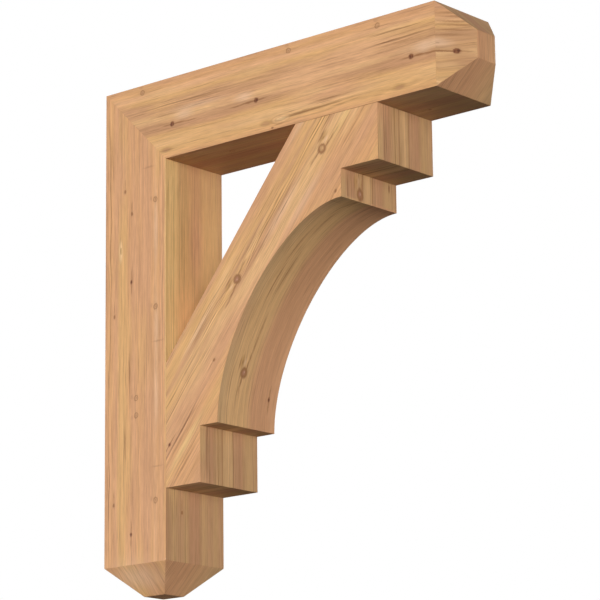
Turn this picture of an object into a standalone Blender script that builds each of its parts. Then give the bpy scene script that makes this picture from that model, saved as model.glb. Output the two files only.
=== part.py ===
"""Timber corbel bracket: a post that fixes to a wall, an arm mitred to its top, and a shaped brace between the two.

The origin is the centre of the post's flat wall face. +X runs out from the wall, +Y across the timber, +Z up.
All sizes are in metres.
"""

import math

import bmesh
import bpy
from mathutils import Vector

# The square timber that all three pieces are cut from, and the frame that two of them make
STOCK = 0.1397
HEIGHT = 0.8636
PROJECTION = 0.7620
TIP_CUT = 0.0466
FIT_GAP = 0.0003

# The brace, measured outward along the arm and downward along the post from the frame's inner corner
BRACE_OUT = 0.4572
BRACE_DOWN = 0.5588
BACK_OUT = 0.2873
BACK_DOWN = 0.3511
NOSE_DEEP = 0.0931
NOSE_STEP = 0.0762
NOSE_LIP = 0.0466
TOE_TALL = 0.0931
TOE_STEP = 0.0762
TOE_LIP = 0.0381
ARC_PULL = 0.444
ARC_FACETS = 32

CEDAR_COLOUR = (0.60, 0.36, 0.19, 1.0)
CEDAR_ROUGHNESS = 0.62

# Heights that follow from the sizes above: the wall face ends where the slopes of the post's tip begin
WALL_FACE = HEIGHT - TIP_CUT
TOP = WALL_FACE / 2


def clear_scene():
    for obj in list(bpy.data.objects):
        bpy.data.objects.remove(obj)


def new_collection(name):
    collection = bpy.data.collections.new(name)
    bpy.context.scene.collection.children.link(collection)
    return collection


def cedar(name):
    """Planed cedar with no varnish, one material for each piece."""
    material = bpy.data.materials.new(name)
    material.use_nodes = True
    shader = material.node_tree.nodes["Principled BSDF"]
    shader.inputs["Base Color"].default_value = CEDAR_COLOUR
    shader.inputs["Roughness"].default_value = CEDAR_ROUGHNESS
    shader.inputs["Metallic"].default_value = 0.0
    return material


def add_box(bm, length):
    """Square stock along +X, its outer side at z = 0 and its inner side at z = -STOCK."""
    bmesh.ops.create_cube(bm, size=1.0)
    bmesh.ops.scale(bm, vec=(length, STOCK, STOCK), verts=bm.verts)
    bmesh.ops.translate(bm, vec=(length / 2, 0.0, -STOCK / 2), verts=bm.verts)


def slope_tip(bm):
    """Draws the +X end out into four equal slopes around a smaller square."""
    end = max(bm.faces, key=lambda face: face.calc_center_median().x)
    bmesh.ops.inset_individual(bm, faces=[end], thickness=TIP_CUT, depth=TIP_CUT)


def cut_mitre(bm):
    """Cuts the other end at 45 degrees, longest on the outer side, half a fitting gap back from the joint."""
    kept_side = Vector((1.0, 0.0, 1.0)).normalized()
    everything = bm.verts[:] + bm.edges[:] + bm.faces[:]
    cut = bmesh.ops.bisect_plane(
        bm,
        geom=everything,
        dist=1e-6,
        plane_co=kept_side * FIT_GAP / 2,
        plane_no=-kept_side,
        clear_outer=True,
    )
    rim = [item for item in cut["geom_cut"] if isinstance(item, bmesh.types.BMEdge)]
    bmesh.ops.contextual_create(bm, geom=rim)
    bmesh.ops.recalc_face_normals(bm, faces=bm.faces)


def frame_timber(name, length, collection):
    """One timber of the frame, from the outer corner at its origin to the tip of its slopes."""
    bm = bmesh.new()
    add_box(bm, length - TIP_CUT)
    slope_tip(bm)
    cut_mitre(bm)
    mesh = bpy.data.meshes.new(name)
    bm.to_mesh(mesh)
    bm.free()
    timber = bpy.data.objects.new(name, mesh)
    collection.objects.link(timber)
    mesh.materials.append(cedar(name))
    return timber


def top_arm(collection):
    arm = frame_timber("top_arm", PROJECTION, collection)
    arm.location = (0.0, 0.0, TOP)
    return arm


def wall_post(collection):
    """The same timber turned to run down the wall, with its outer side on the wall."""
    post = frame_timber("wall_post", HEIGHT, collection)
    post.location = (0.0, 0.0, TOP)
    post.rotation_euler = (0.0, math.pi / 2, math.pi)
    return post


def brace_outline():
    """The corners of the brace as (out, down), from the back edge's upper end clockwise. The arc joins [4] and [5]."""
    nose_back = BRACE_OUT - NOSE_STEP
    toe_top = BRACE_DOWN - TOE_TALL
    return [
        (BACK_OUT, 0.0),
        (BRACE_OUT, 0.0),
        (BRACE_OUT, NOSE_DEEP),
        (nose_back, NOSE_DEEP),
        (nose_back, NOSE_DEEP + NOSE_LIP),
        (TOE_STEP + TOE_LIP, toe_top),
        (TOE_STEP, toe_top),
        (TOE_STEP, BRACE_DOWN),
        (0.0, BRACE_DOWN),
        (0.0, BACK_DOWN),
    ]


def curved_brace(collection):
    """A flat outline as thick as the stock. Its arc leaves the nose level and reaches the toe upright."""
    corners = brace_outline()
    arc_top, arc_foot = 4, 5
    curve = bpy.data.curves.new("curved_brace", "CURVE")
    curve.dimensions = "2D"
    curve.fill_mode = "BOTH"
    curve.extrude = STOCK / 2
    curve.resolution_u = ARC_FACETS
    spline = curve.splines.new("BEZIER")
    spline.bezier_points.add(len(corners) - 1)
    for point, (out, down) in zip(spline.bezier_points, corners):
        point.handle_left_type = "VECTOR"
        point.handle_right_type = "VECTOR"
        point.co = (out, -down, 0.0)
    spline.use_cyclic_u = True

    start, end = spline.bezier_points[arc_top], spline.bezier_points[arc_foot]
    start.handle_left_type = start.handle_right_type = "FREE"
    end.handle_left_type = end.handle_right_type = "FREE"
    span = end.co - start.co
    start.handle_left = start.co
    start.handle_right = start.co + Vector((span.x * ARC_PULL, 0.0, 0.0))
    end.handle_left = end.co - Vector((0.0, span.y * ARC_PULL, 0.0))
    end.handle_right = end.co

    brace = bpy.data.objects.new("curved_brace", curve)
    collection.objects.link(brace)
    brace.location = (STOCK + FIT_GAP, 0.0, TOP - STOCK - FIT_GAP)
    brace.rotation_euler = (math.pi / 2, 0.0, 0.0)
    curve.materials.append(cedar("curved_brace"))
    return brace


def main():
    clear_scene()
    bracket = new_collection("corbel_bracket")
    wall_post(bracket)
    top_arm(bracket)
    curved_brace(bracket)


main()
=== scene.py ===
import math

import bpy
import numpy as np
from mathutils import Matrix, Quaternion, Vector


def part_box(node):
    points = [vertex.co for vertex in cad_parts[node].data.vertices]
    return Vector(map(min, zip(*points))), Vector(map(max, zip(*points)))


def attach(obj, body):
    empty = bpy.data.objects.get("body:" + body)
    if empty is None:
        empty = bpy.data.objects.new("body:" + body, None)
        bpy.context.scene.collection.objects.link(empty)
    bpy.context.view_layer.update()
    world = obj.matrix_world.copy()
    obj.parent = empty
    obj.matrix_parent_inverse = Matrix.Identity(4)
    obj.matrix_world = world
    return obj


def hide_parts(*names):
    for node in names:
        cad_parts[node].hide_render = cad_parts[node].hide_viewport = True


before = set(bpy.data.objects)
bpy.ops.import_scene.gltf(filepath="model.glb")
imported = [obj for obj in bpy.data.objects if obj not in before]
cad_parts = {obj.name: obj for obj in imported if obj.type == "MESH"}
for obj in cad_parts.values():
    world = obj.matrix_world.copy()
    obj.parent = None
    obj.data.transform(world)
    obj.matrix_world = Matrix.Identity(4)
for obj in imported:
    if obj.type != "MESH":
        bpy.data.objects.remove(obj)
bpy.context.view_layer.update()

# Sizes in metres, read from the frame where it holds them
POST_LOW, POST_HIGH = (np.array(corner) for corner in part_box("wall_post"))
ARM_LOW, ARM_HIGH = (np.array(corner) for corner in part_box("top_arm"))
BRACE_LOW, BRACE_HIGH = (np.array(corner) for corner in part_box("curved_brace"))
STOCK = POST_HIGH[1] - POST_LOW[1]
TOP = ARM_HIGH[2]
HEIGHT = TOP - POST_LOW[2]
PROJECTION = ARM_HIGH[0]
TIP_CUT = 0.0466
FIT_GAP = 0.0003
# The scene's timbers close the fitting gaps of the frame to these
MITRE_GAP = 0.00006
JOINT_GAP = 0.00014

# The brace, measured outward along the arm and downward along the post from its own inner corner
BRACE_OUT = BRACE_HIGH[0] - BRACE_LOW[0]
BRACE_DOWN = BRACE_HIGH[2] - BRACE_LOW[2]
BACK_OUT = 0.2873
BACK_DOWN = 0.3511
NOSE_DEEP = 0.0931
NOSE_STEP = 0.0762
NOSE_LIP = 0.0466
TOE_TALL = 0.0931
TOE_STEP = 0.0762
TOE_LIP = 0.0381
ARC_PULL = 0.444

# How far an arris is taken off, and how closely the surfaces are measured out
EASING = 0.0004
ALONG_STEP = 0.0046
ACROSS_STEPS = 92
THROUGH_STEPS = 92
CORNER_STEPS = 3
EASING_STEPS = 3
ARC_STEPS = 120

# Relief of the planed surface: the rings' depth and spacing, and how far a knot stands above it
RING_RELIEF = 0.00006
RING_SPACING = 0.009
KNOT_RELIEF = 0.00012

# Faces that meet at more than this angle stay sharp
SHARP_ANGLE = math.radians(42)
# How much a place counts as side: its normal's share along Y, times the first and less the second
SIDE_SHARPNESS = 1.8
SIDE_START = 0.4
# The least width and the least length of a normal, so that neither is divided by nothing
LEAST_WIDTH = 1e-9
LEAST_NORMAL = 1e-12


def tone(red, green, blue):
    """A colour as a painter would mix it, 0 to 255, turned into the linear light that a shader takes."""
    share = np.array([red, green, blue]) / 255
    linear = np.where(share <= 0.04045, share / 12.92, ((share + 0.055) / 1.055) ** 2.4)
    return (*(float(part) for part in linear), 1.0)


HONEY = tone(216, 167, 110)
ROSE = tone(209, 156, 114)
AMBER = tone(214, 160, 110)
TAN = tone(199, 150, 107)
STRAW = tone(223, 176, 124)
BLUSH = tone(224, 182, 146)
WHEAT = tone(208, 163, 112)
SAND = tone(203, 154, 110)
CLAY = tone(199, 147, 106)
MOSS = tone(190, 152, 108)
PEACH = tone(221, 169, 124)
PALE_HONEY = tone(226, 179, 118)
CREAM = tone(232, 190, 138)
BUTTER = tone(238, 198, 134)
GLOW = tone(244, 188, 128)
BUFF = tone(187, 138, 98)
OLIVE = tone(180, 137, 82)
RUST = tone(166, 116, 78)
UMBER = tone(150, 103, 64)
RUSSET = tone(130, 78, 48)
PLUM = tone(98, 54, 34)
DUSK = tone(176, 124, 96)
# Edge faces, cut across the ring planes, are painted this much darker, partly as painted shade
EDGE_PAINTED_SHADE = (0.84, 0.84, 0.84, 1.0)
# How fast red, green and blue darken in a dark streak
BROWNING = (1.0, 1.10, 1.22)


# Shader maths

class Value:
    """A number that varies over a surface. Sums and products of it add the Math nodes that work them out."""

    def __init__(self, finish, socket):
        self.finish = finish
        self.socket = socket

    def sum_of(self, operation, first, second):
        settings = {"operation": operation}
        return Value(self.finish, self.finish.node("ShaderNodeMath", settings, [first, second]))

    def __add__(self, other):
        return self.sum_of("ADD", self, other)

    __radd__ = __add__

    def __sub__(self, other):
        return self.sum_of("SUBTRACT", self, other)

    def __rsub__(self, other):
        return self.sum_of("SUBTRACT", other, self)

    def __mul__(self, other):
        return self.sum_of("MULTIPLY", self, other)

    __rmul__ = __mul__

    def step(self, start, end):
        """0 before start, 1 past end and a smooth climb between them. Start may be the larger."""
        settings = {"interpolation_type": "SMOOTHSTEP"}
        inputs = [self, start, end, 0.0, 1.0]
        return Value(self.finish, self.finish.node("ShaderNodeMapRange", settings, inputs))


class Finish:
    """One material, built node by node."""

    def __init__(self, name, roughness, specular):
        self.material = bpy.data.materials.new(name)
        self.material.use_nodes = True
        self.tree = self.material.node_tree
        self.shader = self.tree.nodes["Principled BSDF"]
        self.shader.inputs["Roughness"].default_value = roughness
        self.shader.inputs["Specular IOR Level"].default_value = specular

    def join(self, source, target):
        if isinstance(source, Value):
            source = source.socket
        if isinstance(source, bpy.types.NodeSocket):
            self.tree.links.new(source, target)
        else:
            target.default_value = source

    def node(self, kind, settings, inputs, output=0):
        """Adds a node, sets its settings and then its inputs, by number or by name, and gives an output."""
        node = self.tree.nodes.new(kind)
        for name, setting in settings.items():
            if name == "stops":
                self.set_stops(node.color_ramp, setting)
            else:
                setattr(node, name, setting)
        named = inputs.items() if isinstance(inputs, dict) else enumerate(inputs)
        for key, source in named:
            self.join(source, node.inputs[key])
        return node.outputs[output]

    def set_stops(self, ramp, stops):
        while len(ramp.elements) < len(stops):
            ramp.elements.new(0.5)
        for element, (place, colour) in zip(ramp.elements, stops):
            element.position = place
            element.color = colour

    def attribute(self, name, output):
        return self.node("ShaderNodeAttribute", {"attribute_name": name}, [], output)

    def number(self, name):
        return Value(self, self.attribute(name, "Fac"))

    def scaled(self, vector, scale):
        return self.node("ShaderNodeVectorMath", {"operation": "MULTIPLY"}, [vector, scale])

    def noise(self, vector, scale, detail, roughness):
        """Smooth noise from 0 to 1 on a vector stretched by scale, with detail finer layers."""
        place = self.scaled(vector, scale)
        inputs = {"Vector": place, "Scale": 1.0, "Detail": detail, "Roughness": roughness}
        return Value(self, self.node("ShaderNodeTexNoise", {"noise_dimensions": "3D"}, inputs))

    def line_noise(self, place, detail, roughness):
        """Noise along one number, so that all places with the same number look alike."""
        inputs = {"W": place, "Scale": 1.0, "Detail": detail, "Roughness": roughness}
        return Value(self, self.node("ShaderNodeTexNoise", {"noise_dimensions": "1D"}, inputs))

    def ramp(self, place, stops):
        return self.node("ShaderNodeValToRGB", {"stops": stops}, [place])

    def mix(self, share, first, second, blend="MIX"):
        settings = {"data_type": "RGBA", "blend_type": blend}
        inputs = {0: share, 6: first, 7: second}
        return self.node("ShaderNodeMix", settings, inputs, 2)

    def shaded(self, colour, strength):
        """A colour made lighter or darker by a value around 1, and browner as it darkens."""
        parts = [(strength - 1.0) * share + 1.0 for share in BROWNING]
        return self.mix(1.0, colour, self.node("ShaderNodeCombineColor", {}, parts), "MULTIPLY")


# The look of one knot or mark, as spots: how far off its middle along the grain and across it, half sizes
# along and across the grain, colour, strength and the share of it that is soft edge
KNOT_TAILS = [
    (0.0000, 0.0000, 0.0150, 0.0130, BUFF, 0.60, 0.9),
    (0.0170, -0.0100, 0.0170, 0.0060, OLIVE, 0.65, 0.7),
    (0.0140, -0.0138, 0.0160, 0.0022, UMBER, 0.75, 0.9),
    (0.0160, -0.0085, 0.0060, 0.0024, UMBER, 0.60, 0.9),
    (0.0170, -0.0026, 0.0100, 0.0040, BLUSH, 0.60, 1.0),
    (0.0130, 0.0044, 0.0120, 0.0028, UMBER, 0.85, 0.9),
    (0.0260, 0.0060, 0.0150, 0.0027, UMBER, 0.80, 0.9),
    (0.0420, 0.0076, 0.0170, 0.0024, UMBER, 0.75, 1.0),
    (-0.0140, -0.0026, 0.0120, 0.0028, UMBER, 0.75, 0.9),
    (-0.0270, -0.0040, 0.0140, 0.0026, UMBER, 0.65, 1.0),
]
KNOT_PARTS = {
    "pin": [
        (0.0270, -0.0120, 0.0320, 0.0125, BLUSH, 0.75, 1.0),
        (0.0000, 0.0000, 0.0100, 0.0074, BUFF, 0.70, 0.9),
        (0.0150, 0.0006, 0.0280, 0.0024, UMBER, 0.95, 0.9),
        (0.0420, 0.0018, 0.0240, 0.0020, UMBER, 0.80, 1.0),
        (-0.0110, 0.0004, 0.0180, 0.0024, UMBER, 0.75, 1.0),
        (0.0000, 0.0000, 0.0060, 0.0058, RUSSET, 0.92, 0.45),
        (-0.0018, 0.0000, 0.0024, 0.0042, PLUM, 0.90, 0.7),
        (0.0026, 0.0010, 0.0016, 0.0030, PLUM, 0.70, 0.7),
    ],
    "small pin": [
        (0.0000, 0.0000, 0.0100, 0.0050, BUFF, 0.60, 1.0),
        (-0.0110, 0.0004, 0.0200, 0.0022, UMBER, 0.75, 1.0),
        (0.0100, 0.0000, 0.0200, 0.0024, UMBER, 0.75, 1.0),
        (0.0000, 0.0000, 0.0050, 0.0034, RUSSET, 0.90, 0.6),
        (0.0000, 0.0000, 0.0028, 0.0022, PLUM, 0.85, 0.6),
    ],
    "faint pin": [
        (-0.0120, 0.0000, 0.0180, 0.0018, UMBER, 0.60, 1.0),
        (0.0000, 0.0000, 0.0090, 0.0046, BUFF, 0.70, 0.9),
        (0.0000, 0.0000, 0.0044, 0.0030, UMBER, 0.90, 0.6),
    ],
    "ring": [
        (-0.0030, -0.0095, 0.0070, 0.0036, BUFF, 0.75, 0.9),
        (0.0000, 0.0000, 0.0150, 0.0076, TAN, 0.45, 0.9),
        (0.0000, 0.0000, 0.0062, 0.0058, UMBER, 0.70, 0.35),
        (0.0002, 0.0002, 0.0044, 0.0041, TAN, 0.90, 0.40),
        (0.0000, 0.0008, 0.0016, 0.0014, UMBER, 0.50, 0.6),
    ],
    "round": [
        *KNOT_TAILS,
        (0.0000, 0.0000, 0.0108, 0.0098, UMBER, 0.92, 0.40),
        (0.0004, -0.0004, 0.0062, 0.0056, DUSK, 0.85, 0.80),
        (0.0012, 0.0006, 0.0024, 0.0020, BLUSH, 0.40, 0.8),
    ],
    "pale round": [
        *KNOT_TAILS,
        (0.0000, 0.0000, 0.0112, 0.0104, UMBER, 0.90, 0.42),
        (0.0006, -0.0006, 0.0066, 0.0060, WHEAT, 0.80, 0.70),
        (-0.0010, 0.0016, 0.0034, 0.0024, UMBER, 0.40, 0.9),
    ],
    "eye": [
        (0.0000, 0.0000, 0.0300, 0.0080, UMBER, 0.38, 0.7),
        (0.0010, 0.0000, 0.0270, 0.0058, CREAM, 0.95, 0.6),
        (0.0000, 0.0006, 0.0085, 0.0022, OLIVE, 0.85, 0.5),
    ],
    "olive": [
        (0.0010, -0.0010, 0.0200, 0.0080, OLIVE, 0.65, 0.8),
        (0.0000, 0.0000, 0.0130, 0.0050, BUFF, 0.65, 0.6),
    ],
    "burl": [
        (0.0000, 0.0000, 0.0250, 0.0088, UMBER, 0.50, 0.35),
        (0.0014, -0.0002, 0.0230, 0.0072, STRAW, 0.90, 0.35),
        (0.0000, 0.0000, 0.0160, 0.0046, UMBER, 0.40, 0.4),
        (0.0014, -0.0002, 0.0145, 0.0035, CREAM, 0.90, 0.5),
        (0.0240, -0.0080, 0.0240, 0.0018, UMBER, 0.50, 1.0),
    ],
    "spot": [
        (0.0000, 0.0000, 0.0046, 0.0026, RUSSET, 0.75, 0.6),
        (0.0140, -0.0036, 0.0140, 0.0020, UMBER, 0.55, 1.0),
    ],
    "drip": [
        (0.0000, 0.0000, 0.0085, 0.0026, RUSSET, 0.95, 0.8),
    ],
    "cross line": [
        (0.0000, 0.0000, 0.0026, 0.0200, UMBER, 0.35, 1.0),
    ],
    "thin line": [
        (0.0000, 0.0000, 0.0600, 0.0028, UMBER, 0.62, 0.9),
    ],
    # Painted light over the upper part of the post's inner face, which the brace and the arm shade
    "honey wash": [
        (0.0000, 0.0000, 0.2600, 0.1300, PALE_HONEY, 0.80, 1.0),
    ],
    # Painted light along the near edge of the post's inner face, where light comes past the brace and arm
    "butter strip": [
        (0.0000, 0.0000, 0.2600, 0.0320, BUTTER, 1.00, 1.0),
    ],
    # Painted light on the post's inner face next to the brace, against the brace's shade
    "glow": [
        (0.0000, 0.0000, 0.1300, 0.0560, GLOW, 0.90, 1.0),
    ],
    "blush patch": [
        (0.0000, 0.0000, 0.0160, 0.0110, BLUSH, 0.50, 1.0),
    ],
    "blush wash": [
        (0.0000, 0.0000, 0.0600, 0.0800, BLUSH, 0.70, 1.0),
    ],
    "rose zone": [
        (0.0000, 0.0000, 0.1200, 0.0300, ROSE, 0.95, 1.0),
    ],
    "peach zone": [
        (0.0000, 0.0000, 0.1200, 0.0360, PEACH, 0.85, 1.0),
    ],
    "honey zone": [
        (0.0000, 0.0000, 0.1000, 0.0200, HONEY, 0.80, 1.0),
    ],
    "pale zone": [
        (0.0000, 0.0000, 0.0700, 0.0110, STRAW, 0.75, 1.0),
    ],
    "butter zone": [
        (0.0000, 0.0000, 0.0800, 0.0085, BUTTER, 0.70, 0.9),
    ],
    "dusk zone": [
        (0.0000, 0.0000, 0.0800, 0.0240, BUFF, 0.45, 1.0),
    ],
    "blush strip": [
        (0.0000, 0.0000, 0.0900, 0.0075, BLUSH, 0.60, 1.0),
    ],
    "blush zone": [
        (0.0000, 0.0000, 0.0900, 0.0130, BLUSH, 0.55, 1.0),
    ],
    "brown streak": [
        (0.0000, 0.0000, 0.0600, 0.0034, UMBER, 0.46, 1.0),
    ],
}
# How far each kind lifts the growth rings, and the reach of the lift along and across the grain
KNOT_LIFT = {
    "pin": (0.0022, 0.024, 0.0060),
    "small pin": (0.0012, 0.018, 0.0050),
    "faint pin": (0.0010, 0.018, 0.0050),
    "ring": (0.0030, 0.026, 0.0090),
    "round": (0.0085, 0.040, 0.0150),
    "pale round": (0.0085, 0.040, 0.0150),
    "eye": (0.0010, 0.030, 0.0055),
    "olive": (0.0030, 0.034, 0.0090),
}
# How deep a knot runs below the face that it shows on, and a zone below an inner face
KNOT_DEPTH = 0.034
ZONE_DEPTH = 0.004
# How deep the rings are bent around a knot, and how much smaller than the bend the raised knot is, each way
LIFT_DEPTH = KNOT_DEPTH * 1.6
KNOT_TIGHTNESS = (2.0, 1.4, 1.4)
# Marks that reach only ZONE_DEPTH into an inner face: painted light (wash, strip, glow) and colour zones
ZONES = ("honey wash", "butter strip", "glow", "rose zone", "dusk zone")

# Marks by piece and face: (kind, metres along the grain, metres across that face, which way its tail lies)
NEAR, FAR, INNER, OUTER, SLOPE = "near", "far", "inner", "outer", "slope"
ARM_KNOTS = {
    NEAR: [
        ("peach zone", 0.450, 0.0650, 1), ("peach zone", 0.560, 0.0450, 1),
        ("honey zone", 0.220, 0.1180, 1), ("blush zone", 0.700, 0.0690, 1),
        ("blush patch", 0.693, 0.0750, 1), ("pale zone", 0.626, 0.0280, 1), ("dusk zone", 0.640, 0.0740, 1),
        ("rose zone", 0.500, 0.1000, 1), ("honey zone", 0.640, 0.1180, 1), ("pale zone", 0.130, 0.0230, 1),
        ("pale zone", 0.340, 0.0300, 1), ("pale zone", 0.470, 0.0940, 1), ("blush strip", 0.214, 0.0600, 1),
        ("brown streak", 0.230, 0.0480, 1), ("brown streak", 0.140, 0.0640, 1),
        ("brown streak", 0.640, 0.0520, 1), ("brown streak", 0.620, 0.0300, 1),
        ("brown streak", 0.500, 0.1130, 1), ("brown streak", 0.440, 0.1240, 1), ("pin", 0.155, 0.0825, 1),
        ("pin", 0.343, 0.0820, -1), ("pin", 0.667, 0.0810, 1), ("ring", 0.086, 0.0130, 1),
        ("ring", 0.414, 0.0130, 1), ("ring", 0.600, 0.0142, 1), ("olive", 0.141, 0.1255, 1),
        ("olive", 0.363, 0.1265, 1), ("olive", 0.643, 0.1262, -1), ("spot", 0.378, 0.1365, 1),
        ("burl", 0.395, 0.1250, 1),
    ],
    FAR: [
        ("rose zone", 0.300, 0.0500, 1), ("honey zone", 0.500, 0.0900, 1), ("pale zone", 0.150, 0.0800, 1),
        ("brown streak", 0.400, 0.0600, 1), ("brown streak", 0.210, 0.1000, 1), ("round", 0.262, 0.0610, 1),
        ("pin", 0.118, 0.0430, 1), ("pin", 0.515, 0.0980, 1), ("ring", 0.430, 0.0280, 1),
        ("faint pin", 0.585, 0.0560, 1), ("pin", 0.690, 0.0800, 1),
    ],
    SLOPE: [
        ("dusk zone", 0.745, 0.0930, 1), ("thin line", 0.740, 0.0260, 1), ("thin line", 0.735, 0.0340, 1),
        ("thin line", 0.742, 0.0400, 1), ("thin line", 0.735, 0.0480, 1),
        ("brown streak", 0.730, 0.0560, 1), ("brown streak", 0.735, 0.0200, 1),
        ("blush patch", 0.718, 0.0680, 1), ("pale zone", 0.728, 0.1070, 1), ("thin line", 0.715, 0.0826, 1),
        ("pin", 0.7390, 0.0826, -1),
    ],
    INNER: [("pale zone", 0.745, 0.0400, 1), ("faint pin", 0.632, 0.0200, 1), ("ring", 0.250, -0.0250, 1)],
    OUTER: [
        ("ring", 0.180, 0.0200, 1), ("round", 0.470, -0.0180, 1), ("pin", 0.330, 0.0420, 1),
        ("faint pin", 0.620, 0.0330, 1),
    ],
}
POST_KNOTS = {
    NEAR: [
        ("honey zone", 0.430, 0.0520, 1), ("honey zone", 0.640, 0.0520, 1), ("rose zone", 0.330, 0.0800, 1),
        ("rose zone", 0.150, 0.0350, 1), ("rose zone", 0.160, 0.0900, 1), ("rose zone", 0.700, 0.1000, 1),
        ("rose zone", 0.560, 0.1050, 1), ("dusk zone", 0.450, 0.1040, 1), ("dusk zone", 0.665, 0.1040, 1),
        ("blush strip", 0.260, 0.1170, 1), ("blush strip", 0.430, 0.1190, 1),
        ("blush strip", 0.540, 0.1180, 1), ("brown streak", 0.480, 0.0560, 1),
        ("brown streak", 0.620, 0.0480, 1), ("brown streak", 0.700, 0.0640, 1),
        ("brown streak", 0.130, 0.0180, 1), ("small pin", 0.340, 0.0612, 1),
        ("faint pin", 0.394, 0.0216, 1), ("faint pin", 0.714, 0.0216, 1), ("small pin", 0.767, 0.0612, 1),
        ("faint pin", 0.180, 0.0460, 1), ("faint pin", 0.222, 0.0620, 1), ("ring", 0.206, 0.1158, 1),
        ("ring", 0.391, 0.1168, 1), ("ring", 0.716, 0.1168, 1), ("ring", 0.540, 0.0724, 1),
        ("ring", 0.569, 0.0724, -1), ("eye", 0.282, 0.0358, 1), ("cross line", 0.450, 0.1220, 1),
        ("cross line", 0.660, 0.1200, 1), ("cross line", 0.147, 0.1000, 1),
    ],
    FAR: [
        ("rose zone", 0.260, 0.0800, 1), ("honey zone", 0.560, 0.0500, 1),
        ("brown streak", 0.420, 0.0700, 1), ("round", 0.330, 0.0850, 1), ("pin", 0.205, 0.0410, 1),
        ("small pin", 0.500, 0.0330, 1), ("ring", 0.610, 0.1020, 1), ("faint pin", 0.700, 0.0560, 1),
        ("small pin", 0.780, 0.0900, 1),
    ],
    SLOPE: [("blush wash", 0.835, 0.0600, 1)],
    INNER: [
        # The wash, the strips and the glow are painted light in the recess that the brace and the arm shade
        ("honey wash", 0.290, 0.0, 1), ("butter strip", 0.180, -0.0560, 1),
        ("butter strip", 0.360, -0.0560, 1), ("glow", 0.430, -0.0250, 1), ("rose zone", 0.270, 0.0050, 1),
        ("dusk zone", 0.180, 0.0100, 1), ("butter strip", 0.520, -0.0560, 1),
        ("faint pin", 0.735, -0.0310, 1),
    ],
    OUTER: [("ring", 0.300, 0.0150, 1), ("round", 0.560, -0.0200, 1)],
}
BRACE_KNOTS = {
    NEAR: [
        ("rose zone", 0.310, 0.0050, 1), ("rose zone", 0.420, 0.1200, 1), ("rose zone", 0.100, 0.0850, 1),
        ("rose zone", 0.400, 0.0050, 1), ("rose zone", 0.520, 0.1350, 1), ("honey zone", -0.040, 0.0500, 1),
        ("pale zone", 0.175, 0.0220, 1), ("pale zone", 0.250, 0.0440, 1), ("blush strip", 0.480, 0.0100, 1),
        ("rose zone", -0.055, 0.0810, 1), ("pale zone", 0.030, 0.0430, 1), ("pale zone", 0.090, 0.0460, 1),
        ("pale zone", 0.360, 0.0850, 1), ("pale zone", 0.260, 0.0820, 1), ("honey zone", 0.440, 0.0500, 1),
        ("pale zone", 0.120, 0.0600, 1), ("pale zone", 0.030, 0.0520, 1), ("blush strip", 0.085, 0.0280, 1),
        ("dusk zone", -0.100, 0.1720, 1), ("blush zone", 0.367, 0.0960, 1),
        ("blush zone", 0.325, 0.0640, 1), ("pale zone", 0.523, 0.1010, 1),
        ("brown streak", 0.300, 0.0470, 1), ("brown streak", 0.260, 0.0620, 1),
        ("brown streak", 0.340, 0.0560, 1), ("brown streak", 0.080, 0.0320, 1),
        ("brown streak", 0.030, 0.0480, 1), ("brown streak", 0.240, 0.0380, 1),
        ("round", 0.190, 0.0500, -1), ("pale round", 0.447, 0.0762, 1), ("butter zone", -0.080, 0.1225, 1),
        ("rose zone", -0.140, 0.1900, 1), ("butter zone", 0.530, 0.0850, 1),
        ("brown streak", -0.060, 0.1010, 1), ("brown streak", -0.090, 0.1090, 1),
        ("brown streak", -0.085, 0.1350, 1), ("brown streak", -0.110, 0.1420, 1),
        ("brown streak", -0.060, 0.0340, 1), ("faint pin", 0.406, 0.1448, 1),
        ("small pin", -0.101, 0.0935, 1), ("faint pin", 0.060, 0.0900, 1),
    ],
    FAR: [
        ("rose zone", 0.300, 0.0600, 1), ("honey zone", 0.120, 0.0600, 1),
        ("brown streak", 0.200, 0.0500, 1), ("pin", 0.300, 0.0420, 1), ("round", 0.080, 0.0640, 1),
        ("ring", -0.020, 0.0860, 1), ("faint pin", 0.430, 0.1000, 1),
    ],
    INNER: [
        ("thin line", 0.345, -0.0250, 1), ("thin line", 0.290, -0.0360, 1),
        ("thin line", 0.215, -0.0330, 1), ("thin line", 0.240, -0.0180, 1),
        ("thin line", 0.130, -0.0130, 1), ("round", 0.060, -0.0220, 1), ("small pin", 0.029, 0.0490, 1),
        ("round", 0.414, -0.0230, 1), ("drip", 0.434, 0.0510, 1),
    ],
    OUTER: [("pin", 0.150, 0.0150, 1), ("ring", 0.330, -0.0300, 1)],
}
# Where lines crowd together on the broad sides: metres along the grain and across it, and half sizes
ARM_BUNDLES = [(0.470, 0.1200, 0.090, 0.014), (0.650, 0.0400, 0.070, 0.022), (0.180, 0.0500, 0.100, 0.014)]
POST_BUNDLES = [
    (0.480, 0.0520, 0.060, 0.008), (0.650, 0.0520, 0.080, 0.010), (0.250, 0.0140, 0.300, 0.012),
    (0.650, 0.0120, 0.200, 0.010), (0.250, 0.1290, 0.400, 0.006),
]
BRACE_BUNDLES = [
    (0.300, 0.0500, 0.110, 0.024), (0.330, 0.0850, 0.080, 0.010), (0.470, 0.0500, 0.060, 0.016),
    (0.120, 0.0350, 0.070, 0.016), (-0.020, 0.0600, 0.080, 0.012), (-0.070, 0.1030, 0.070, 0.006),
    (-0.090, 0.1370, 0.060, 0.006),
]
# Share of the lines seen outside the bundles, on the sides and on the edges
QUIET_SIDE = 0.20
QUIET_EDGE = 0.40
# On the edges that share at the middle of the thickness, and how much it falls from there to the far side
EDGE_MIDDLE = 0.70
EDGE_FALL = 0.55
# Pith lines behind each piece's side and behind its edges: metres across the face and metres behind it
ARM_PITHS = ((0.200, 0.170), (0.110, 0.100))
POST_PITHS = ((-0.050, 0.190), (0.120, 0.120))
BRACE_PITHS = ((0.220, 0.120), (0.130, 0.110))
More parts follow.
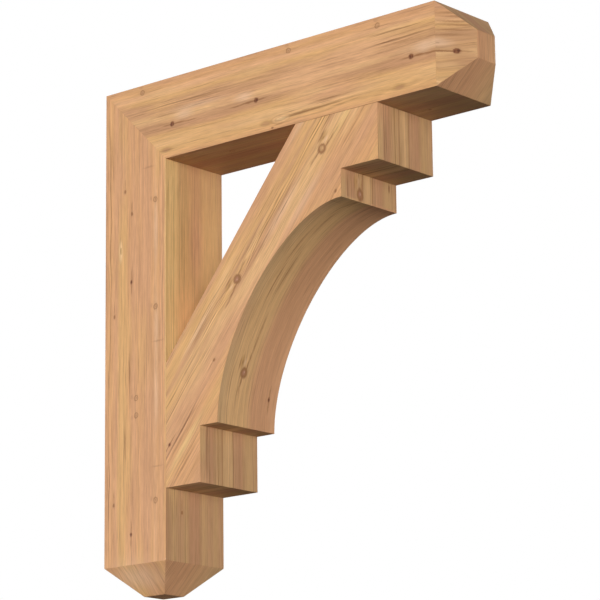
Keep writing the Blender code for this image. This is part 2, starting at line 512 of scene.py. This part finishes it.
# Slow waves of the rings: height, turns a metre along the grain and across it, and the shift of the wave
ARM_WAVES = [(0.0008, 2.1, 3.0, 0.4), (0.0004, 5.3, -4.0, 2.1), (0.0002, 11.0, 9.0, 4.0)]
POST_WAVES = [(0.0007, 1.7, 2.0, 1.4), (0.0003, 4.1, 5.0, 0.3), (0.0002, 9.0, -7.0, 5.2)]
BRACE_WAVES = [(0.0010, 2.6, 2.5, 3.0), (0.0005, 6.0, -5.0, 1.2), (0.0003, 12.0, 8.0, 0.7)]
# Places far apart in the noise, so that the faces differ. The far side's is minus the near side's
SIDE_NUMBER = 3.0
INNER_NUMBER = 8.0
OUTER_NUMBER = 12.0
END_NUMBER = 15.0


# Geometry

def section_template():
    """A rounded rectangle as four arrays, one entry a point, going once around it.

    A point lies at u = r + across * (W - 2r) + r * turn_u and v = through * (H - r) + r * turn_v, for a
    rectangle W wide from u = 0, H thick either side of v = 0, with corners of radius r.
    """
    side_w = np.arange(ACROSS_STEPS) / ACROSS_STEPS
    side_t = np.arange(THROUGH_STEPS) / THROUGH_STEPS * 2 - 1
    turn = np.arange(CORNER_STEPS) / CORNER_STEPS * math.pi / 2
    parts = []
    runs = (
        (side_w, -1.0 + 0 * side_w, -math.pi / 2),
        (1.0 + 0 * side_t, side_t, 0.0),
        (1 - side_w, 1.0 + 0 * side_w, math.pi / 2),
        (0 * side_t, -side_t, math.pi),
    )
    for across, through, angle in runs:
        parts.append((across, through, np.cos(angle) + 0 * across, np.sin(angle) + 0 * across))
        end_across, end_through = round(2 * across[-1]) / 2, np.sign(through[-1])
        turned = angle + turn
        parts.append((end_across + 0 * turn, end_through + 0 * turn, np.cos(turned), np.sin(turned)))
    return [np.concatenate(column) for column in zip(*parts)]


def stations(nodes):
    """Sections along a timber, as rows of outer x and z, inner x and z, half thickness and corner radius.

    Each node is such a row and whether its bend is eased. An eased bend is the quadratic curve
    (1-s)^2 * before + 2s(1-s) * bend + s^2 * after, from EASING before it to EASING past it. The straight
    stretches between bends are divided into equal steps no longer than ALONG_STEP. The second array says
    which stations lie on the end faces, where the section shrinks to the middle.
    """
    rows = np.array([row for row, _ in nodes], float)
    eased = [bend for _, bend in nodes]
    moves = np.diff(rows, axis=0)
    lengths = np.maximum.reduce([
        np.hypot(moves[:, 0], moves[:, 1]), np.hypot(moves[:, 2], moves[:, 3]), np.abs(moves[:, 4])])
    out, on_end = [], []
    share = np.linspace(0, 1, EASING_STEPS + 1)[:, None]
    for i, length in enumerate(lengths):
        start = rows[i] + moves[i] * (EASING / length if eased[i] else 0)
        end = rows[i + 1] - moves[i] * (EASING / length if eased[i + 1] else 0)
        steps = max(1, math.ceil(length / ALONG_STEP))
        out.append(start + (end - start) * np.linspace(0, 1, steps + 1)[:-1, None])
        on_end.append(np.full(steps, i in (0, len(lengths) - 1)))
        if i + 1 < len(lengths) and eased[i + 1]:
            after = rows[i + 1] + moves[i + 1] * EASING / lengths[i + 1]
            curve = (1 - share) ** 2 * end + 2 * share * (1 - share) * rows[i + 1] + share ** 2 * after
            out.append(curve[:-1])
            on_end.append(np.full(EASING_STEPS, False))
    out.append(rows[-1:])
    on_end.append([True])
    return np.concatenate(out), np.concatenate(on_end)


def swept_points(rows):
    """The section template set at every station: a grid of points, stations by points around the section."""
    across, through, turn_u, turn_v = section_template()
    outer, inner = rows[:, 0:2], rows[:, 2:4]
    width = np.hypot(*(inner - outer).T)
    direction = (inner - outer) / np.maximum(width, LEAST_WIDTH)[:, None]
    half = rows[:, 4]
    radius = np.minimum(rows[:, 5], np.minimum(width, 2 * half) / 2)[:, None]
    u = radius + across * (width[:, None] - 2 * radius) + radius * turn_u
    v = through * (half[:, None] - radius) + radius * turn_v
    x = outer[:, :1] + direction[:, :1] * u
    z = outer[:, 1:] + direction[:, 1:] * u
    return np.stack([x, v, z], axis=-1)


def grid_faces(count, around):
    """Quads between rings, wrapped around, and a fan of triangles to a pole at either end."""
    ring = np.arange(around)
    after = (ring + 1) % around
    row = np.arange(count - 1)[:, None] * around
    corners = [row + ring, row + after, row + around + after, row + around + ring]
    quads = np.stack(corners, axis=-1).reshape(-1, 4)
    first_pole, last_pole = count * around, count * around + 1
    last = (count - 1) * around
    start_fan = np.stack([0 * ring + first_pole, after, ring], axis=-1)
    end_fan = np.stack([0 * ring + last_pole, last + ring, last + after], axis=-1)
    return quads, np.concatenate([start_fan, end_fan])


def grain_places(points, corner, along, across):
    """Metres along the grain, across it and through the thickness.

    They are measured from a corner, along two directions in X and Z.
    """
    flat = points[..., [0, 2]] - corner
    return np.stack([flat @ along, flat @ across, points[..., 1]], axis=-1)


def face_place(face, along, across, size):
    """The grain place of a knot on a face, and which of its half sizes runs into the wood.

    The size is how deep the inner face lies below the outer one, or how far the near slope is off the middle.
    """
    if face == SLOPE:
        return (along, across, size), 2
    if face in (NEAR, FAR):
        return (along, across, -STOCK / 2 if face == NEAR else STOCK / 2), 2
    return (along, size if face == INNER else 0.0, across), 1


def knot_bumps(places, knots, depth_of):
    """How far knots lift the rings at each place, and the share of knot there.

    The lift is a sum of bells exp(-distance squared), and the share is the largest of them.
    """
    lift, share = np.zeros(places.shape[:-1]), np.zeros(places.shape[:-1])
    for face, marks in knots.items():
        for kind, along, across, _ in marks:
            if kind not in KNOT_LIFT:
                continue
            height, reach, spread = KNOT_LIFT[kind]
            centre, into = face_place(face, along, across, depth_of(face, along))
            sizes = [reach, spread, spread]
            sizes[into] = LIFT_DEPTH
            away = (places - centre) / sizes
            lift += height * np.exp(-np.sum(away ** 2, axis=-1))
            away = away * KNOT_TIGHTNESS
            share = np.maximum(share, np.exp(-np.sum(away ** 2, axis=-1)))
    return lift, share


def crowding(places, side, bundles):
    """How strongly lines show: a quiet share, and bells exp(-distance squared) around the bundles.

    On the edges the share falls evenly from the near side to the far one.
    """
    crowd = np.full(side.shape, QUIET_SIDE)
    for along, across, reach, spread in bundles:
        away = (places[..., :2] - (along, across)) / (reach, spread)
        crowd = np.maximum(crowd, np.exp(-np.sum(away ** 2, axis=-1)))
    edge = QUIET_EDGE * (EDGE_MIDDLE - EDGE_FALL * places[..., 2] / (STOCK / 2))
    return edge + (crowd - edge) * side


def growth_rings(run, across, pith, waves):
    """Distance from a pith line behind the face, plus slow waves a * sin(2 pi (run * f + across * g) + p)."""
    rings = np.hypot(across - pith[0], pith[1])
    for height, f, g, shift in waves:
        rings = rings + height * np.sin(2 * math.pi * (run * f + across * g) + shift)
    return rings


def edge_runs(rows, points, on_end):
    """Metres travelled along each edge face and on across the end faces.

    The second array says which points are nearer the outer edge face.
    """
    outer, inner = rows[:, 0:2], rows[:, 2:4]
    moves = [np.hypot(*np.diff(path, axis=0).T) for path in (outer, inner)]
    travel = [np.concatenate([[0.0], np.cumsum(lengths)]) for lengths in moves]
    from_outer = np.hypot(points[..., 0] - outer[:, :1], points[..., 2] - outer[:, 1:])
    width = np.hypot(*(inner - outer).T)[:, None]
    run = np.where(from_outer < width / 2, travel[0][:, None], travel[1][:, None])
    return np.where(on_end[:, None], travel[0][:, None] + from_outer, run), from_outer < width / 2


def timber(name, node, nodes, grain, knots, bundles, depth_of, turned_at, piths, waves, finish):
    """A closed timber swept along its stations, with its relief, and the grain kept as attributes.

    The attribute "place" is metres along the grain, across it and through the thickness. "grain" is the run
    of the streaks, the distance across them, and a number that keeps the faces apart. "rings" is the growth
    rings' distance and "crowd" how strongly their lines show. "side" is 1 on the broad sides. "turned" is 1
    on the arc and on the slopes of the tips, apart from the arm's upper one.
    """
    rows, on_end = stations(nodes)
    poles = np.array([[row[0], 0.0, row[1]] for row in (rows[0], rows[-1])])
    rows, on_end = rows[1:-1], on_end[1:-1]
    points = swept_points(rows)
    count, around = points.shape[:2]

    forward = np.gradient(points, axis=0)
    round_about = np.roll(points, -1, axis=1) - np.roll(points, 1, axis=1)
    outward = np.cross(round_about, forward)
    outward /= np.maximum(np.linalg.norm(outward, axis=-1, keepdims=True), LEAST_NORMAL)
    centre = points.mean(axis=(0, 1))
    if np.sum((points - centre) * outward) < 0:
        outward = -outward
    rim = np.argmin(on_end)
    outward[rim] = outward[rim + 1]
    side = np.clip(np.abs(outward[..., 1]) * SIDE_SHARPNESS - SIDE_START, 0, 1)

    places = grain_places(points, *grain)
    along, across, through = np.moveaxis(places, -1, 0)
    run, on_outer = edge_runs(rows, points, on_end)
    side_rings = growth_rings(along, across, piths[0], waves)
    edge_rings = growth_rings(run, through, piths[1], waves)
    lift, share = knot_bumps(places, knots, depth_of)
    rings = edge_rings + (side_rings - edge_rings) * side + lift
    side_grain = np.stack([along, across, SIDE_NUMBER * np.sign(through)], axis=-1)
    edge_number = np.where(on_end[:, None], END_NUMBER, np.where(on_outer, OUTER_NUMBER, INNER_NUMBER))
    edge_grain = np.stack([run, through, edge_number], axis=-1)
    grains = edge_grain + (side_grain - edge_grain) * side[..., None]

    furrows = 0.5 - 0.5 * np.cos(2 * math.pi * rings / RING_SPACING)
    hollow = RING_RELIEF * furrows + KNOT_RELIEF * (1 - share)
    hollow = np.where(on_end[:, None], 0.0, hollow)
    points = points - outward * hollow[..., None]
    vertices = np.concatenate([points.reshape(-1, 3), poles])
    quads, fans = grid_faces(count, around)
    faces = quads.tolist() + fans.tolist()
    corners = vertices[quads]
    spans = np.cross(corners[:, 2] - corners[:, 0], corners[:, 3] - corners[:, 1])
    if np.sum(spans * (corners.mean(axis=1) - centre)) < 0:
        faces = [face[::-1] for face in faces]

    mesh = bpy.data.meshes.new(name)
    mesh.from_pydata(vertices.tolist(), [], faces)
    ends = (0, -1)
    for attribute, values in (("place", places), ("grain", grains)):
        at_poles = values[ends, :].mean(axis=1)
        everywhere = np.concatenate([values.reshape(-1, 3), at_poles])
        mesh.attributes.new(attribute, "FLOAT_VECTOR", "POINT").data.foreach_set("vector", everywhere.ravel())
    crowd = crowding(places, side, bundles)
    turned = turned_at(points, on_outer).astype(float)
    for attribute, values in (("rings", rings), ("side", side), ("crowd", crowd), ("turned", turned)):
        everywhere = np.concatenate([values.ravel(), values[ends, :].mean(axis=1)])
        mesh.attributes.new(attribute, "FLOAT", "POINT").data.foreach_set("value", everywhere)
    mesh.shade_smooth()
    mesh.set_sharp_from_angle(angle=SHARP_ANGLE)
    mesh.materials.append(finish)
    piece = bpy.data.objects.new(name, mesh)
    bpy.context.scene.collection.objects.link(piece)
    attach(piece, "root")
    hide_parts(node)
    return piece


def arm_place(along, across):
    return along, TOP - across


def post_place(along, across):
    return across, TOP - along


def brace_place(out, down):
    return BRACE_LOW[0] + out, BRACE_HIGH[2] - down


def frame_nodes(length, to_world):
    """Bends of a frame timber: the mitre's middle and rim, the slopes' start and end, the end's middle.

    Places along the timber and across it, from its outer side, are turned into X and Z by to_world.
    """
    back = MITRE_GAP / 2 * math.sqrt(2)
    slope = length - TIP_CUT
    deep = STOCK + FIT_GAP - JOINT_GAP

    def row(along_outer, across_outer, along_inner, across_inner, half, radius):
        return (*to_world(along_outer, across_outer), *to_world(along_inner, across_inner), half, radius)

    middle = STOCK / 2
    half = STOCK / 2
    return [
        (row(back + middle, middle, back + middle, middle, 0.0, 0.0), False),
        (row(back, 0.0, back + deep, deep, half, EASING), False),
        (row(slope, 0.0, slope, deep, half, EASING), True),
        (row(length, TIP_CUT, length, STOCK - TIP_CUT, half - TIP_CUT, EASING), True),
        (row(length, middle, length, middle, 0.0, 0.0), False),
    ]


def brace_arc():
    """The arc's points as (out, down), foot first: the cubic (1-s)^3 a + 3s(1-s)^2 b + 3s^2(1-s) c + s^3 d.

    It leaves the toe's lip upright and reaches the nose's lip level.
    """
    foot = np.array([TOE_STEP + TOE_LIP, BRACE_DOWN - TOE_TALL])
    head = np.array([BRACE_OUT - NOSE_STEP, NOSE_DEEP + NOSE_LIP])
    span = foot - head
    level = head + (span[0] * ARC_PULL, 0.0)
    upright = foot - (0.0, span[1] * ARC_PULL)
    s = np.linspace(0, 1, ARC_STEPS)[:, None]
    return (1 - s) ** 3 * foot + 3 * s * (1 - s) ** 2 * upright + 3 * s ** 2 * (1 - s) * level + s ** 3 * head


def brace_nodes(to_world):
    """Bends of the brace from the toe's underside to the nose's end, its back outside and its arc inside."""
    half = STOCK / 2
    toe_top = BRACE_DOWN - TOE_TALL
    nose_back = BRACE_OUT - NOSE_STEP
    arc = brace_arc()
    back_foot = np.array([0.0, BACK_DOWN])
    back_head = np.array([BACK_OUT, 0.0])
    back = back_foot + (back_head - back_foot) * np.linspace(0, 1, ARC_STEPS)[:, None]

    def row(outer, inner, thick=half, radius=EASING):
        return (*to_world(*outer), *to_world(*inner), thick, radius)

    toe_middle = (TOE_STEP / 2, BRACE_DOWN)
    nose_middle = (BRACE_OUT, NOSE_DEEP / 2)
    step_share = (toe_top + BACK_DOWN) / 2
    head_share = (BACK_OUT + nose_back) / 2
    rows = [
        (row(toe_middle, toe_middle, 0.0, 0.0), False),
        (row((0.0, BRACE_DOWN), (TOE_STEP, BRACE_DOWN)), True),
        (row((0.0, step_share), (TOE_STEP, toe_top)), False),
    ]
    for i, (outer, inner) in enumerate(zip(back, arc)):
        rows.append((row(outer, inner), i in (0, ARC_STEPS - 1)))
    rows += [
        (row((head_share, 0.0), (nose_back, NOSE_DEEP)), False),
        (row((BRACE_OUT, 0.0), (BRACE_OUT, NOSE_DEEP)), True),
        (row(nose_middle, nose_middle, 0.0, 0.0), False),
    ]
    return rows


def frame_depth(length):
    """Finds how deep the inner face is on a frame timber, or how far the near slope is off the middle."""
    def depth_of(face, along):
        return along - (length - TIP_CUT) - STOCK / 2 if face == SLOPE else STOCK
    return depth_of


def brace_grain():
    """The brace's corner, and unit directions along its back edge and across it."""
    along = np.array([BACK_OUT, BACK_DOWN]) / math.hypot(BACK_OUT, BACK_DOWN)
    return np.array(brace_place(0.0, BACK_DOWN)), along, np.array([along[1], -along[0]])


def brace_depth(face, along):
    """Metres from the back edge to the arc and the step above it, measured across the grain."""
    nose_corner = (BRACE_OUT - NOSE_STEP, NOSE_DEEP)
    x, z = brace_place(*np.vstack([brace_arc(), nose_corner]).T)
    places = grain_places(np.stack([x, 0 * x, z], axis=-1), *brace_grain())
    return float(np.interp(along, places[:, 0], places[:, 1]))


def on_arm_tip(points, on_outer):
    """The slopes and the end of the arm, apart from the slope on top, which keeps the painted edge shade."""
    return (points[..., 0] > PROJECTION - TIP_CUT) & (points[..., 2] < TOP - TIP_CUT)


def on_post_tip(points, on_outer):
    return points[..., 2] < TOP - HEIGHT + TIP_CUT


def on_arc(points, on_outer):
    x, z = brace_place(*brace_arc().T)
    in_reach = (points[..., 0] > x.min() - EASING) & (points[..., 0] < x.max() + EASING)
    in_height = (points[..., 2] > z.min() - EASING) & (points[..., 2] < z.max() + EASING)
    return in_reach & in_height & ~on_outer


# Materials

# Noise in the wood: turns a metre along the grain, across it and from face to face, detail and roughness
DRIFT = ((3.1, 21.0, 1.0), 2.0, 0.5)
HUE = ((5.5, 38.0, 1.0), 3.0, 0.55)
STREAK = ((8.0, 125.0, 1.0), 4.0, 0.62)
FIBRE = ((45.0, 640.0, 1.0), 2.0, 0.6)
DASH = ((11.0, 380.0, 1.0), 1.0, 0.5)
RINGS_PER_METRE = 430.0
RING_WAVER = 1.6
RING_DETAIL = (2.0, 0.6)
NOISE_MIDDLE = 0.5
# Metres that the drift moves the bands of colour, and the ragged noise that roughens the outlines of marks
BAND_DRIFT = 0.014
RAGGED = (120.0, 420.0, 420.0)
RAGGED_DETAIL = 2.0
RAGGED_REACH = (0.0040, 0.0022, 0.0022)
# Where in the noise a kind of wood begins and is at its fullest
ROSY = (0.50, 0.70)
YELLOW = (0.50, 0.30)
LATE_WOOD = (0.52, 0.68)
PALE_WOOD = (0.46, 0.32)
DARK_DASH = (0.60, 0.72)
PALE_DASH = (0.40, 0.28)
# How strongly each lightens or darkens the colour, everywhere and more where lines crowd together
TINT_SHARE = 0.60
STREAK_SHADE = 0.52
FIBRE_SHADE = 0.32
SIDE_FIBRE_SHADE = 0.12
DARK_DASH_SHADE = 0.13
CROWDED_DARK_DASH = 0.20
PALE_DASH_SHADE = 0.06
CROWDED_PALE_DASH = 0.10
PALE_WOOD_SHADE = 0.16
LATE_WOOD_SHADE = 0.38
# The planed surface's gloss and the fine relief that is too small for the mesh
CEDAR_ROUGHNESS = 0.62
LATE_WOOD_POLISH = 0.08
FIBRE_ROUGHNESS = 0.10
CEDAR_SPECULAR = 0.25
BUMP_STRENGTH = 0.35
BUMP_DISTANCE = 0.0006

# Bands of colour at metres across a face
ARM_SIDE = [
    (0.000, ROSE), (0.010, AMBER), (0.020, PEACH), (0.030, HONEY), (0.040, TAN), (0.058, TAN), (0.068, STRAW),
    (0.078, TAN), (0.089, BUFF), (0.099, HONEY), (0.116, STRAW), (0.126, HONEY), (0.139, AMBER),
]
POST_SIDE = [
    (0.000, ROSE), (0.012, AMBER), (0.026, ROSE), (0.034, HONEY), (0.046, HONEY), (0.054, AMBER),
    (0.066, ROSE), (0.078, AMBER), (0.090, ROSE), (0.104, ROSE), (0.110, AMBER), (0.116, PEACH),
    (0.123, AMBER), (0.130, ROSE), (0.139, AMBER),
]
BRACE_SIDE = [
    (0.000, ROSE), (0.012, HONEY), (0.026, HONEY), (0.036, TAN), (0.046, HONEY), (0.058, TAN),
    (0.068, STRAW), (0.082, STRAW), (0.096, ROSE), (0.112, AMBER), (0.124, HONEY), (0.139, AMBER),
]
FRAME_EDGE = [
    (0.000, BUFF), (0.010, SAND), (0.020, WHEAT), (0.034, SAND), (0.048, WHEAT), (0.058, CLAY),
    (0.078, CLAY), (0.092, WHEAT), (0.108, SAND), (0.122, WHEAT), (0.132, SAND),
]
BRACE_EDGE = [
    (0.000, WHEAT), (0.010, STRAW), (0.0150, SAND), (0.0165, RUST), (0.0182, SAND), (0.028, CLAY),
    (0.0410, WHEAT), (0.0425, RUST), (0.0440, WHEAT), (0.0500, WHEAT), (0.0520, BUFF), (0.0532, RUST),
    (0.0546, WHEAT), (0.068, STRAW), (0.0765, WHEAT), (0.0790, RUST), (0.0803, SAND), (0.100, CLAY),
    (0.112, WHEAT), (0.1270, WHEAT), (0.1285, BUFF), (0.1300, WHEAT), (0.139, SAND),
]
SLOPES = [(0.000, CLAY), (0.060, CLAY), (0.090, SAND), (0.139, MOSS)]
ARC = [
    (0.000, MOSS), (0.030, WHEAT), (0.050, WHEAT), (0.066, WHEAT), (0.082, CLAY), (0.112, CLAY),
    (0.139, ROSE),
]


def stops(span, colours):
    """Colours at metres across a face, as the stops of a ramp that goes once over the span."""
    return [(min(1.0, place / span), colour) for place, colour in colours]


def banded(finish, grain, side, side_colours, edge_colours, turned_colours):
    """Bands of colour across each face that wander a little, in places rosier or yellower on the sides."""
    across = Value(finish, finish.node("ShaderNodeSeparateXYZ", {}, [grain], 1))
    drift = finish.noise(grain, *DRIFT)
    hue = finish.noise(grain, *HUE)
    wandering = (across + (drift - NOISE_MIDDLE) * BAND_DRIFT) * (1 / STOCK)
    side_colour = finish.ramp(wandering, stops(STOCK, side_colours))
    # On the edges a place is measured from the middle of the thickness
    edge_colour = finish.ramp(wandering + 0.5, stops(STOCK, edge_colours))
    turned_colour = finish.ramp(wandering + 0.5, stops(STOCK, turned_colours))
    # Painted shade on the edges; the arc and tip slopes skip it, so they read lighter as painted light
    edge_colour = finish.mix(1.0, edge_colour, EDGE_PAINTED_SHADE, "MULTIPLY")
    edge_colour = finish.mix(finish.number("turned"), edge_colour, turned_colour)
    colour = finish.mix(side, edge_colour, side_colour)
    colour = finish.mix(hue.step(*ROSY) * side * TINT_SHARE, colour, ROSE)
    return finish.mix(hue.step(*YELLOW) * side * TINT_SHARE, colour, HONEY)


def marked(finish, colour, place, knots, depth_of):
    """Lays the spots of every mark over a colour, each an ellipsoid with a ragged, soft outline."""
    inputs = {"Vector": finish.scaled(place, RAGGED), "Scale": 1.0, "Detail": RAGGED_DETAIL}
    ragged = finish.node("ShaderNodeTexNoise", {}, inputs, "Color")
    middle = (NOISE_MIDDLE, NOISE_MIDDLE, NOISE_MIDDLE)
    shifted = finish.node("ShaderNodeVectorMath", {"operation": "SUBTRACT"}, [ragged, middle])
    shifted = finish.scaled(shifted, RAGGED_REACH)
    ragged_place = finish.node("ShaderNodeVectorMath", {"operation": "ADD"}, [place, shifted])
    for face, marks in knots.items():
        for kind, along, at, lean in marks:
            depth = ZONE_DEPTH if face == INNER and kind in ZONES else KNOT_DEPTH
            size = depth_of(face, along)
            for forth, aside, reach, spread, tint, strength, soft in KNOT_PARTS[kind]:
                centre, into = face_place(face, along + forth * lean, at + aside, size)
                sizes = [reach, spread, spread]
                sizes[into] = depth
                scale = 1 / np.array(sizes)
                inputs = [ragged_place, scale.tolist(), (-scale * centre).tolist()]
                away = finish.node("ShaderNodeVectorMath", {"operation": "MULTIPLY_ADD"}, inputs)
                length = finish.node("ShaderNodeVectorMath", {"operation": "LENGTH"}, [away], "Value")
                mask = Value(finish, length).step(1.0, 1.0 - soft) * strength
                colour = finish.mix(mask, colour, tint)
    return colour


def planed_cedar(name, side_colours, edge_colours, turned_colours, knots, depth_of):
    """Planed cedar: bands of colour and knots, shaded by streaks, fibres, dashes and growth rings."""
    finish = Finish(name, CEDAR_ROUGHNESS, CEDAR_SPECULAR)
    grain = finish.attribute("grain", "Vector")
    place = finish.attribute("place", "Vector")
    side = finish.number("side")
    crowd = finish.number("crowd")
    colour = banded(finish, grain, side, side_colours, edge_colours, turned_colours)
    colour = marked(finish, colour, place, knots, depth_of)

    streak = finish.noise(grain, *STREAK)
    fibre = finish.noise(grain, *FIBRE)
    dash = finish.noise(grain, *DASH)
    ring_place = finish.number("rings") * RINGS_PER_METRE + (streak - NOISE_MIDDLE) * RING_WAVER
    ring = finish.line_noise(ring_place, *RING_DETAIL)
    late_wood = ring.step(*LATE_WOOD)
    pale_wood = ring.step(*PALE_WOOD)
    shade = 1.0 + (streak - NOISE_MIDDLE) * STREAK_SHADE
    shade = shade + (fibre - NOISE_MIDDLE) * (side * SIDE_FIBRE_SHADE + FIBRE_SHADE)
    shade = shade - dash.step(*DARK_DASH) * (crowd * CROWDED_DARK_DASH + DARK_DASH_SHADE)
    shade = shade + dash.step(*PALE_DASH) * (crowd * CROWDED_PALE_DASH + PALE_DASH_SHADE)
    shade = shade + (pale_wood * PALE_WOOD_SHADE - late_wood * LATE_WOOD_SHADE) * crowd
    finish.join(finish.shaded(colour, shade), finish.shader.inputs["Base Color"])

    polish = late_wood * LATE_WOOD_POLISH
    roughness = CEDAR_ROUGHNESS - polish + (fibre - NOISE_MIDDLE) * FIBRE_ROUGHNESS
    finish.join(roughness, finish.shader.inputs["Roughness"])
    relief = ring * 0.5 + fibre * 0.5
    inputs = {"Height": relief, "Strength": BUMP_STRENGTH, "Distance": BUMP_DISTANCE}
    finish.join(finish.node("ShaderNodeBump", {}, inputs), finish.shader.inputs["Normal"])
    return finish.material


# Studio

WHITE = (1.0, 1.0, 1.0, 1.0)
CAMERA_PLACE = Vector((3.2805, -3.3915, -1.0941))
CAMERA_BACKWARD = Vector((0.63229, -0.73746, -0.23740))
CAMERA_ROLL = math.radians(-0.69)
LENS = 170.5
SENSOR = 36.0
FAR_CLIP = 100.0
FLOOR_HEIGHT = -3.0
FLOOR_SIDE = 60.0
FLOOR_TONE = (0.82, 0.82, 0.82, 1.0)
FLOOR_ROUGHNESS = 0.8
FLOOR_SPECULAR = 0.2
FLOOR_GLOW = 0.60
# Strength of the surroundings, as light on the bracket and as seen by the camera
DIM = 0.02
BRIGHT = 1.0
# Azimuth, measured from -Y towards +X, elevation and strength of each light
LIGHTS = {
    "front light": (40, -4, 2.6),
    "left light": (-60, -3, 2.1),
    "right light": (110, -12, 0.7),
    "back light": (185, 7, 2.4),
    "top light": (-117, 56, 1.9),
}
LIGHT_SPREAD = math.radians(30)


def add_camera():
    camera_data = bpy.data.cameras.new("camera")
    camera_data.lens = LENS
    camera_data.sensor_width = SENSOR
    camera_data.clip_end = FAR_CLIP
    camera = bpy.data.objects.new("camera", camera_data)
    level = CAMERA_BACKWARD.to_track_quat("Z", "Y")
    camera.rotation_mode = "QUATERNION"
    camera.rotation_quaternion = level @ Quaternion((0.0, 0.0, 1.0), CAMERA_ROLL)
    camera.location = CAMERA_PLACE
    bpy.context.scene.collection.objects.link(camera)
    bpy.context.scene.camera = camera


def around(azimuth, elevation):
    """The direction at an azimuth, measured from -Y towards +X, and an elevation, both in degrees."""
    turn = math.radians(azimuth)
    climb = math.radians(elevation)
    return math.sin(turn) * math.cos(climb), -math.cos(turn) * math.cos(climb), math.sin(climb)


def add_light(name, direction, strength):
    """A wide, distant soft light that shines on the bracket from a direction."""
    light_data = bpy.data.lights.new(name, "SUN")
    light_data.energy = strength
    light_data.angle = LIGHT_SPREAD
    light = bpy.data.objects.new(name, light_data)
    light.rotation_mode = "QUATERNION"
    light.rotation_quaternion = Vector(direction).to_track_quat("Z", "Y")
    bpy.context.scene.collection.objects.link(light)


def add_world():
    """White to the camera, and a dim even light to the bracket."""
    world = bpy.data.worlds.new("studio")
    bpy.context.scene.world = world
    world.use_nodes = True
    tree = world.node_tree
    background = tree.nodes["Background"]
    path = tree.nodes.new("ShaderNodeLightPath")
    strength = tree.nodes.new("ShaderNodeMapRange")
    strength.inputs["To Min"].default_value = DIM
    strength.inputs["To Max"].default_value = BRIGHT
    tree.links.new(path.outputs["Is Camera Ray"], strength.inputs["Value"])
    tree.links.new(strength.outputs[0], background.inputs["Strength"])
    background.inputs["Color"].default_value = WHITE


def add_floor():
    mesh = bpy.data.meshes.new("floor")
    half = FLOOR_SIDE / 2
    corners = [(-half, -half), (half, -half), (half, half), (-half, half)]
    mesh.from_pydata([(x, y, FLOOR_HEIGHT) for x, y in corners], [], [(0, 1, 2, 3)])
    floor = bpy.data.objects.new("floor", mesh)
    finish = Finish("pale floor", FLOOR_ROUGHNESS, FLOOR_SPECULAR)
    finish.shader.inputs["Base Color"].default_value = FLOOR_TONE
    finish.shader.inputs["Emission Color"].default_value = WHITE
    finish.shader.inputs["Emission Strength"].default_value = FLOOR_GLOW
    mesh.materials.append(finish.material)
    floor.visible_diffuse = False
    floor.visible_glossy = False
    floor.visible_shadow = False
    bpy.context.scene.collection.objects.link(floor)


# The bracket

def add_arm():
    depth_of = frame_depth(PROJECTION)
    finish = planed_cedar("arm cedar", ARM_SIDE, FRAME_EDGE, SLOPES, ARM_KNOTS, depth_of)
    grain = (np.array([0.0, TOP]), np.array([1.0, 0.0]), np.array([0.0, -1.0]))
    timber("arm_timber", "top_arm", frame_nodes(PROJECTION, arm_place), grain, ARM_KNOTS, ARM_BUNDLES,
           depth_of, on_arm_tip, ARM_PITHS, ARM_WAVES, finish)


def add_post():
    depth_of = frame_depth(HEIGHT)
    finish = planed_cedar("post cedar", POST_SIDE, FRAME_EDGE, SLOPES, POST_KNOTS, depth_of)
    grain = (np.array([0.0, TOP]), np.array([0.0, -1.0]), np.array([1.0, 0.0]))
    timber("post_timber", "wall_post", frame_nodes(HEIGHT, post_place), grain, POST_KNOTS, POST_BUNDLES,
           depth_of, on_post_tip, POST_PITHS, POST_WAVES, finish)


def add_brace():
    finish = planed_cedar("brace cedar", BRACE_SIDE, BRACE_EDGE, ARC, BRACE_KNOTS, brace_depth)
    timber("brace_timber", "curved_brace", brace_nodes(brace_place), brace_grain(), BRACE_KNOTS,
           BRACE_BUNDLES, brace_depth, on_arc, BRACE_PITHS, BRACE_WAVES, finish)


def main():
    bpy.context.scene.view_settings.view_transform = "Standard"
    add_camera()
    add_world()
    add_floor()
    for name, (azimuth, elevation, strength) in LIGHTS.items():
        add_light(name, around(azimuth, elevation), strength)
    add_arm()
    add_post()
    add_brace()


main()
